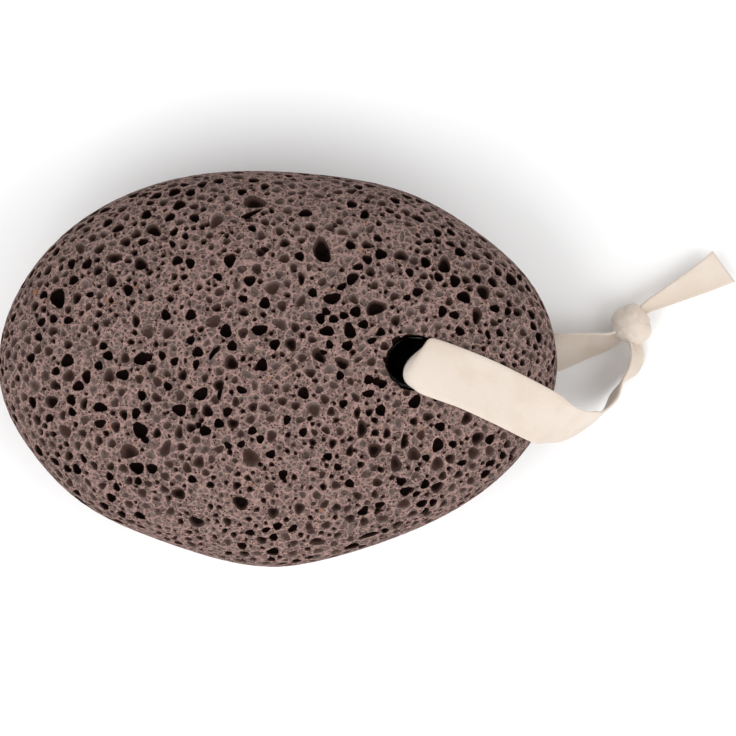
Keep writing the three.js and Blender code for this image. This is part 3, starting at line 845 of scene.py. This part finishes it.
def lava_material():
    """Ground, dish and hole colours chosen by the face's kind and the point's depth, with walls, pores and rust.

    The walls are the edges of a cell pattern, given a painted highlight where the distance to the nearest edge is
    short.
    """
    material, nodes, links, shader, where = new_material("lava", 0.93)
    kind, tint, deep = (attribute(nodes, name) for name in ("pit_kind", "pit_tint", "pit_depth"))
    broad = placed(nodes, links, patches, Vector=where, Scale=60, Low=0.4, High=0.6)["Mask"]
    fine = placed(nodes, links, patches, Vector=where, Scale=2000, Low=0.46, High=0.66)["Mask"]
    rare = placed(nodes, links, patches, Vector=where, Scale=420, Low=0.70, High=0.74)["Mask"]
    # Painted shade: tiny pores, too small to cut, are dark dots in the colour and dents in the relief.
    pores = nodes.new("ShaderNodeTexVoronoi")
    pores.inputs["Scale"].default_value = 2300
    links.new(where, pores.inputs["Vector"])
    pore_size = calculated(nodes, links, "MULTIPLY", pores.outputs["Color"], 0.5)
    past_rim = calculated(nodes, links, "SUBTRACT", pores.outputs["Distance"], pore_size)
    solid = mapped(nodes, links, past_rim, -0.06, 0.06)
    shallow = nodes.new("ShaderNodeTexVoronoi")
    shallow.feature = "DISTANCE_TO_EDGE"
    shallow.inputs["Scale"].default_value = 640
    links.new(where, shallow.inputs["Vector"])
    # Painted highlight: the cell walls are lightened in the colour below, and raised in the relief.
    wall = mapped(nodes, links, shallow.outputs["Distance"], 0.02, 0.17, 1.0, 0.0)
    speckle = calculated(nodes, links, "MULTIPLY", fine, 0.4)
    highlight_and_speckle = calculated(nodes, links, "MULTIPLY_ADD", wall, 0.53, speckle)
    ground = blended(nodes, links, broad, GROUND_DULL, GROUND_PINK)
    ground = blended(nodes, links, highlight_and_speckle, ground, PALE_TONE_AND_HIGHLIGHT)
    ground = blended(nodes, links, rare, ground, RUST)
    ground = blended(nodes, links, solid, PORE_SHADE, ground)
    dish = blended(nodes, links, tint, DISH_DARK, DISH_LIGHT)
    dish = blended(nodes, links, mapped(nodes, links, fine, 0.0, 1.0, 0.0, 0.25), dish, PALE_TONE_AND_HIGHLIGHT)
    # Painted highlight along each dish's rim, where its depth is still small.
    dish = blended(nodes, links, mapped(nodes, links, deep, 0.0, 0.12, 0.9, 0.0), dish, PAINTED_RIM_HIGHLIGHT)
    # Painted shade: dishes darken with depth, and holes and the bore are painted nearly black inside.
    dish = blended(nodes, links, mapped(nodes, links, deep, 0.14, 0.46), dish, HOLE_SHADE_EDGE)
    dish = blended(nodes, links, mapped(nodes, links, deep, 0.42, 0.85), dish, HOLE_SHADE_DEEP)
    hole = blended(nodes, links, mapped(nodes, links, deep, 0.05, 0.5), HOLE_SHADE_EDGE, HOLE_SHADE_DEEP)
    colour = blended(nodes, links, mapped(nodes, links, kind, 0.2, 0.3), ground, dish)
    colour = blended(nodes, links, mapped(nodes, links, kind, 0.6, 0.9), colour, hole)
    links.new(colour, shader.inputs["Base Color"])
    shader.inputs["Specular IOR Level"].default_value = 0.05
    links.new(mapped(nodes, links, fine, 0.0, 1.0, 0.86, 0.98), shader.inputs["Roughness"])
    pitted = calculated(nodes, links, "MULTIPLY_ADD", wall, 1.4, solid)
    normal = placed(nodes, links, relief, Vector=where, Grain_Scale=3600, Pattern=pitted, Strength=0.55)["Normal"]
    links.new(normal, shader.inputs["Normal"])
    return material


lava = lava_material()
stone.data.materials.clear()
stone.data.materials.append(lava)

# %% [markdown]
# ## Cotton
# The tape is unbleached cotton in a plain weave, three threads to the millimetre. The threads follow the cloth, so
# the weave reads the tape's own coordinates, in millimetres along and across, instead of the place in space.

# %% The cotton material
THREADS_PER_MM = 3.2
COTTON_LIGHT, COTTON_WARM, COTTON_GAP_SHADE = (0.640, 0.560, 0.488, 1), (0.610, 0.516, 0.434, 1), (0.42, 0.34, 0.28, 1)


def plain_weave(nodes, links):
    """Thread height: in every second square the thread along lies on top, in the others the thread across."""
    cloth = nodes.new("ShaderNodeUVMap")
    cloth.uv_map = "cloth_mm"
    parts = nodes.new("ShaderNodeSeparateXYZ")
    links.new(cloth.outputs["UV"], parts.inputs[0])

    def step(operation, *values):
        return calculated(nodes, links, operation, *values)

    wave_along, wave_across = (
        step("SINE", step("MULTIPLY", parts.outputs[axis], THREADS_PER_MM * math.pi)) for axis in (0, 1))
    ridge_along, ridge_across = step("ABSOLUTE", wave_along), step("ABSOLUTE", wave_across)
    along_on_top = step("GREATER_THAN", step("MULTIPLY", wave_along, wave_across), 0.0)
    top_along = step("MULTIPLY", ridge_across, step("MULTIPLY_ADD", ridge_along, 0.4, 0.6))
    top_across = step("MULTIPLY", ridge_along, step("MULTIPLY_ADD", ridge_across, 0.4, 0.6))
    difference = step("SUBTRACT", top_along, top_across)
    return step("MULTIPLY_ADD", difference, along_on_top, top_across)


def cotton_material():
    """Warm off-white cloth: broad tone patches, painted shade in the gaps between the threads, and the weave as
    relief.
    """
    material, nodes, links, shader, where = new_material("cotton", 0.9)
    weave = plain_weave(nodes, links)
    warm = placed(nodes, links, patches, Vector=where, Scale=130, Low=0.4, High=0.62)["Mask"]
    cloth = blended(nodes, links, warm, COTTON_LIGHT, COTTON_WARM)
    # Painted shade where the weave is low, between the threads.
    cloth = blended(nodes, links, mapped(nodes, links, weave, 0.0, 0.35, 0.85, 1.0), COTTON_GAP_SHADE, cloth)
    links.new(cloth, shader.inputs["Base Color"])
    links.new(mapped(nodes, links, weave, 0.0, 1.0, 0.97, 0.86), shader.inputs["Roughness"])
    normal = placed(nodes, links, relief, Vector=where, Grain_Scale=5200, Pattern=weave, Strength=0.25)["Normal"]
    links.new(normal, shader.inputs["Normal"])
    shader.inputs["Sheen Weight"].default_value = 0.15
    shader.inputs["Sheen Roughness"].default_value = 0.5
    return material


cotton = cotton_material()

# %% [markdown]
# ## The tape's way
# The tape goes up through the hole, lies over the stone's edge, twists down to the floor and comes back under the
# stone. A cloth simulation could find such a way, but not twice the same. Here each cross line of the tape is
# given by its two edges and its middle, and smooth curves go through them, so it lies just as in the photo.

# %% The tape's cross lines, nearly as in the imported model
TAPE_LIFT = 0.55


def on_stone(x, y, lift=TAPE_LIFT):
    """A point above the stone's upper surface."""
    point = surface_points(np.array([x]), np.array([y]), 1)[0]
    return (x, y, float(point[2]) + MIDDLE_Z + lift)


def half_way(edge, other_edge):
    """The middle of a cross line that isn't cupped."""
    return tuple((a + b) / 2 for a, b in zip(edge, other_edge))


def line(edge, other_edge, middle=None):
    """One cross line of the tape: edge, middle and other edge."""
    return (edge, middle or half_way(edge, other_edge), other_edge)


LOOP = [
    line((63.8, 8.6, 4.6), (65.6, 8.0, 3.0)),
    line((64.3, 5.2, 5.3), (66.5, 5.2, 2.4), (64.5, 4.9, 3.0)),
    line((64.5, 2.5, 6.3), (67.1, 2.1, 1.2), (65.2, 2.1, 3.1)),
    line((63.9, 0.0, 7.8), (66.1, -0.7, 0.8), (64.4, -0.6, 3.8)),
    line((62.6, -2.5, 9.2), (63.4, -2.6, 0.7), (62.6, -2.8, 4.8)),
    line((61.4, -5.7, 10.6), (61.1, -5.1, 0.9)),
    line((58.8, -8.0, 12.2), (59.4, -8.3, 2.6)),
    line((57.4, -8.0, 14.5), (55.6, -11.3, 5.8)),
    line((55.6, -7.9, 17.3), (51.8, -13.2, 10.2)),
    line((53.0, -7.0, 21.0), (48.4, -13.6, 16.2)),
    line((49.6, -4.6, 25.8), (45.2, -13.3, 23.8)),
    line(on_stone(43.0, -1.2), on_stone(38.5, -10.1)),
    line(on_stone(36.0, 2.0), on_stone(32.0, -7.1)),
    line(on_stone(27.7, 5.0), on_stone(25.4, -4.7), on_stone(26.3, 0.2, 1.0)),
    line((26.6, 4.3, 35.5), (24.5, -3.8, 36.0), (22.7, -0.8, 36.4)),
    line((26.5, 3.9, 33.0), (24.7, -3.3, 33.0), (22.4, -0.2, 33.2)),
    line((26.4, 3.8, 18.0), (24.8, -3.2, 18.0), (22.4, 0.0, 18.0)),
    line((23.4, 5.4, 9.0), (22.4, -2.8, 9.0), (20.0, 1.2, 9.0)),
    line((24.2, 5.4, 3.2), (23.0, -3.0, 3.2), (20.4, 1.0, 3.2)),
    line((27.8, 5.3, 1.2), (26.4, -3.3, 1.2), (24.6, 0.5, 1.0)),
    line((32.5, 5.8, 0.7), (32.5, -4.1, 0.7)),
    line((41.5, 6.7, 1.9), (41.5, -3.0, 1.0)),
    line((50.7, 6.2, 6.2), (51.1, -0.7, 0.9), (50.9, 3.4, 2.6)),
    line((56.8, 6.2, 6.0), (57.2, 1.8, 1.0), (57.0, 5.0, 2.2)),
    line((60.9, 6.3, 5.5), (61.4, 3.7, 1.8), (61.1, 6.0, 2.5)),
    line((64.4, 8.6, 4.6), (65.0, 7.2, 3.2)),
]


def tail_lines(drop, length, narrow):
    """One loose end, lowered, shortened and curled narrower for the end that lies under the other."""
    ax, ay = -0.83 * length, -0.56 * length
    lines = [
        line((64.6, 9.2, 4.4 - drop), (65.4, 7.9, 4.2 - drop)),
        line((67.0, 12.0, 4.6 - drop), (67.4, 9.9, 3.7 - drop), (67.2, 10.9, 3.7 - drop)),
        line((71.0, 14.9, 4.3 - drop), (72.1, 11.6, 3.0 - drop), (71.5, 13.2, 3.2 - drop)),
        line((76.2 + ax, 18.6 + ay, 4.0 - drop), (79.0 + ax, 14.0 + ay, 2.4 - drop),
             (77.6 + ax, 16.2 + ay, 2.8 - drop)),
        line((79.6 + ax, 21.5 + ay, 3.8 - drop), (84.0 + ax, 15.9 + ay, 2.0 - drop),
             (81.8 + ax, 18.7 + ay, 2.6 - drop)),
    ]
    return [tuple(tuple(m + (p - m) * narrow for p, m in zip(point, entry[1])) for point in entry)
            for entry in lines]


def curve_through(points, steps):
    """A Catmull-Rom curve: between two points it is a cubic that heads as its neighbours do."""
    points = np.asarray(points, float)
    padded = np.concatenate([[2 * points[0] - points[1]], points, [2 * points[-1] - points[-2]]])
    t = np.linspace(0, len(points) - 1, (len(points) - 1) * steps + 1)
    i = np.minimum(t.astype(int), len(points) - 2)
    f = (t - i)[:, None]
    p0, p1, p2, p3 = (padded[i + k] for k in range(4))
    return 0.5 * (2 * p1 + (p2 - p0) * f + (2 * p0 - 5 * p1 + 4 * p2 - p3) * f ** 2
                  + (3 * p1 - p0 - 3 * p2 + p3) * f ** 3)


ACROSS = np.concatenate([[-1.0], np.linspace(-0.95, 0.95, 13), [1.0]])


def strip_surface(lines, steps):
    """A strip: along it three curves, across it the parabola through them."""
    edge, middle, other = (curve_through([entry[k] for entry in lines], steps)[:, None] for k in range(3))
    v = ACROSS[None, :, None]
    return edge * v * (v - 1) / 2 + middle * (1 - v * v) + other * v * (v + 1) / 2


# %% [markdown]
# ## Cloth with a thickness
# A surface has no edge to catch the light, and a tape's woven edge does. So the profile that is carried along
# the tape is a closed flat section: the upper face, a rounded woven edge, the lower face and the other edge.

# %% From a middle surface to a closed body
def unit(vectors):
    """Vectors of length 1."""
    return vectors / np.maximum(np.linalg.norm(vectors, axis=-1, keepdims=True), 1e-9)


def cloth_body(grid, thickness, closed=False):
    """Points, faces and cloth coordinates of a band: its middle surface moved half a thickness both ways.

    closed joins the last row to the first, for a turn of tape that goes right round.
    """
    if closed:
        ahead = np.roll(grid, -1, axis=0) - np.roll(grid, 1, axis=0)
    else:
        ahead = np.gradient(grid, axis=0)
    outward = unit(np.cross(ahead, np.gradient(grid, axis=1)))
    half = thickness / 2 * np.where(np.abs(ACROSS) > 0.9, 1.15, 1.0)
    half[[0, -1]] = thickness / 5
    upper = grid + outward * half[None, :, None]
    lower = grid - outward * half[None, :, None]
    ring = np.concatenate([upper, lower[:, ::-1]], axis=1)
    rows, around = ring.shape[:2]
    step = np.linalg.norm(np.diff(grid[:, 7], axis=0, append=grid[:1, 7]), axis=1)
    along = np.concatenate([[0], np.cumsum(step)])
    wide = np.linalg.norm(np.diff(grid, axis=1), axis=2).sum(axis=1).mean() / 2
    side = np.concatenate([ACROSS, ACROSS[::-1]]) * wide
    i, j = np.meshgrid(np.arange(rows if closed else rows - 1), np.arange(around), indexing="ij")
    i, j, i2, j2 = i.ravel(), j.ravel(), (i.ravel() + 1) % rows, (j.ravel() + 1) % around
    faces = np.stack([i * around + j, i2 * around + j, i2 * around + j2, i * around + j2], axis=1)
    cloth = np.stack([np.stack([along[i], side[j]], -1), np.stack([along[i + 1], side[j]], -1),
                      np.stack([along[i + 1], side[j2]], -1), np.stack([along[i], side[j2]], -1)], axis=1)
    if not closed:
        pairs = np.arange(len(ACROSS) - 1)
        back = around - 1 - pairs
        for row, turn in ((0, 1), (rows - 1, -1)):
            cap = np.stack([pairs, pairs + 1, back - 1, back], axis=1)[:, ::turn] + row * around
            faces = np.concatenate([faces, cap])
            flat = np.stack([np.full(cap.shape, along[row]), side[cap % around]], axis=-1)
            cloth = np.concatenate([cloth, flat])
    return ring.reshape(-1, 3), faces, cloth


# %% [markdown]
# ## The knot
# Both strands are tied together in one simple knot, and the tape in it is folded narrow and pulled into hard,
# rounded turns. Each turn is a band round a small ball: a ring of the ball, off its middle and tilted, that
# bulges along its own middle and tucks in at its edges. Where two turns meet, the tucked edges leave a crease.

# %% The knot's turns
KNOT_MIDDLE = np.array([64.7, 8.0, 3.75])
KNOT_BALL = np.array([3.55, 3.6, 3.3])
KNOT_TURNS = {
    "core": dict(axis=(0.83, 0.56, 0.05), offset=0.0, half=1.0, size=0.90, bulge=0.0),
    "lobe": dict(axis=(0.50, 0.866, 0.06), offset=-0.06, half=0.47, size=0.90, bulge=0.13),
    "lower": dict(axis=(0.42, 0.90, -0.10), offset=-0.66, half=0.27, size=0.88, bulge=0.12),
    "left": dict(axis=(-0.80, 0.58, 0.12), offset=0.52, half=0.33, size=0.88, bulge=0.12),
    "collar": dict(axis=(0.93, 0.36, 0.05), offset=0.50, half=0.25, size=0.86, bulge=0.10),
}
TURN_STEPS = 56


def knot_turn(axis, offset, half, size, bulge):
    """A ring of the ball: offset and half width along its axis, the rest of the radius round it, plus a bulge."""
    axis = unit(np.array(axis))
    first = unit(np.cross([0.0, 0.0, 1.0], axis) + [1e-6, 0, 0])
    second = np.cross(axis, first)
    phi = (np.arange(TURN_STEPS) * 2 * math.pi / TURN_STEPS)[:, None, None]
    v = ACROSS[None, :, None]
    level = np.clip(offset + half * v, -0.9995, 0.9995)
    crumple = 0.015 * np.sin(5 * phi + 3 * v) + 0.012 * np.sin(9 * phi - 4 * v)
    radius = size + bulge * (1 - v ** 4) + crumple * np.sign(bulge)
    return KNOT_MIDDLE + KNOT_BALL * radius * (
        axis * level + np.sqrt(1 - level ** 2) * (first * np.cos(phi) + second * np.sin(phi)))


# %% [markdown]
# ## One piece of tape
# Loop, knot and both loose ends are one strip of cloth, so they become one mesh. The bodies only touch or sink
# into each other inside the knot, where nothing can be seen.

# %% The whole tape as one piece
TAPE_THICKNESS = 0.45
STRIP_STEPS = 10


def joined(bodies):
    """Several bodies as one set of points, faces and cloth coordinates."""
    shift = np.cumsum([0] + [len(body[0]) for body in bodies[:-1]])
    return (np.concatenate([body[0] for body in bodies]),
            np.concatenate([body[1] + k for body, k in zip(bodies, shift)]),
            np.concatenate([body[2] for body in bodies]))


tape_bodies = [cloth_body(strip_surface(LOOP, STRIP_STEPS), TAPE_THICKNESS),
               cloth_body(strip_surface(tail_lines(0, 0, 1), STRIP_STEPS), TAPE_THICKNESS),
               cloth_body(strip_surface(tail_lines(0.95, 5.0, 0.5), STRIP_STEPS), TAPE_THICKNESS)]
tape_bodies += [cloth_body(knot_turn(**turn), 0.5, closed=True) for turn in KNOT_TURNS.values()]
tape_points, tape_faces, tape_cloth = joined(tape_bodies)
tape = mesh_object("cotton_tape", tape_points, tape_faces)
cloth_layer = tape.data.uv_layers.new(name="cloth_mm")
cloth_layer.data.foreach_set("uv", tape_cloth.reshape(-1).astype(np.float32))
tape.data.shade_smooth()
tape.data.materials.append(cotton)
print("tape points:", len(tape_points), "size", np.round(np.ptp(tape_points, axis=0), 1), "mm")

# %% [markdown]
# ## Floor and light
# The photo has a white ground and soft light from the lower left. A pale floor under a bright, even sky gives
# that, with one large lamp for the direction and a weaker one that lifts the shade on the tape's far side. The
# sky is dark straight above, where a photographer's camera would hang, and so the deep holes stay black.

# %% Floor and light
FLOOR_HALF, FLOOR_DROP = 900, 0.05
floor_corners = [(-FLOOR_HALF, -FLOOR_HALF, -FLOOR_DROP), (FLOOR_HALF, -FLOOR_HALF, -FLOOR_DROP),
                 (FLOOR_HALF, FLOOR_HALF, -FLOOR_DROP), (-FLOOR_HALF, FLOOR_HALF, -FLOOR_DROP)]
floor = mesh_object("floor", floor_corners, [[0, 1, 2, 3]])
pale, nodes, links, pale_shader, where = new_material("pale_floor", 0.9)
paper = placed(nodes, links, patches, Vector=where, Scale=9, Low=0.3, High=0.7)["Mask"]
paper_colour = blended(nodes, links, paper, (0.93, 0.93, 0.93, 1), (0.95, 0.95, 0.95, 1))
links.new(paper_colour, pale_shader.inputs["Base Color"])
floor.data.materials.append(pale)

world = bpy.data.worlds.new("studio")
bpy.context.scene.world = world
world.use_nodes = True
world.node_tree.nodes["Background"].inputs["Color"].default_value = (1, 1, 1, 1)
sky_nodes, sky_links = world.node_tree.nodes, world.node_tree.links
straight_up = sky_nodes.new("ShaderNodeSeparateXYZ")
sky_links.new(sky_nodes.new("ShaderNodeTexCoord").outputs["Generated"], straight_up.inputs[0])
sky_links.new(mapped(sky_nodes, sky_links, straight_up.outputs["Z"], 0.955, 0.985, 0.78, 0.05),
              sky_nodes["Background"].inputs["Strength"])


def soft_light(name, place, target, size, power):
    """A square area light at a place, in metres, facing a target."""
    lamp = bpy.data.lights.new(name, "AREA")
    lamp.size = size
    lamp.energy = power
    holder = bpy.data.objects.new(name, lamp)
    holder.location = place
    holder.rotation_euler = (Vector(target) - Vector(place)).to_track_quat("-Z", "Y").to_euler()
    bpy.context.scene.collection.objects.link(holder)


soft_light("key", (-0.44, -0.38, 0.66), (0, 0, 0.02), 0.7, 4.4)
soft_light("fill", (0.50, -0.25, 0.50), (0.06, 0, 0.01), 0.6, 2.6)
bpy.context.scene.view_settings.view_transform = "Standard"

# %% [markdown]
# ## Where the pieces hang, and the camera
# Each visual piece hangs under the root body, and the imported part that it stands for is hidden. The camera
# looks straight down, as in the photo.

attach(stone, "root")
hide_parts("stone")
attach(tape, "root")
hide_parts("tape")

camera = bpy.data.cameras.new("camera")
camera.lens = 150
camera.sensor_width = 36
camera.clip_end = 10
eye = bpy.data.objects.new("camera", camera)
eye.location = (EYE_X * MM, EYE_Y * MM, (MIDDLE_Z + EYE_ABOVE_MIDDLE) * MM)
bpy.context.scene.collection.objects.link(eye)
bpy.context.scene.camera = eye
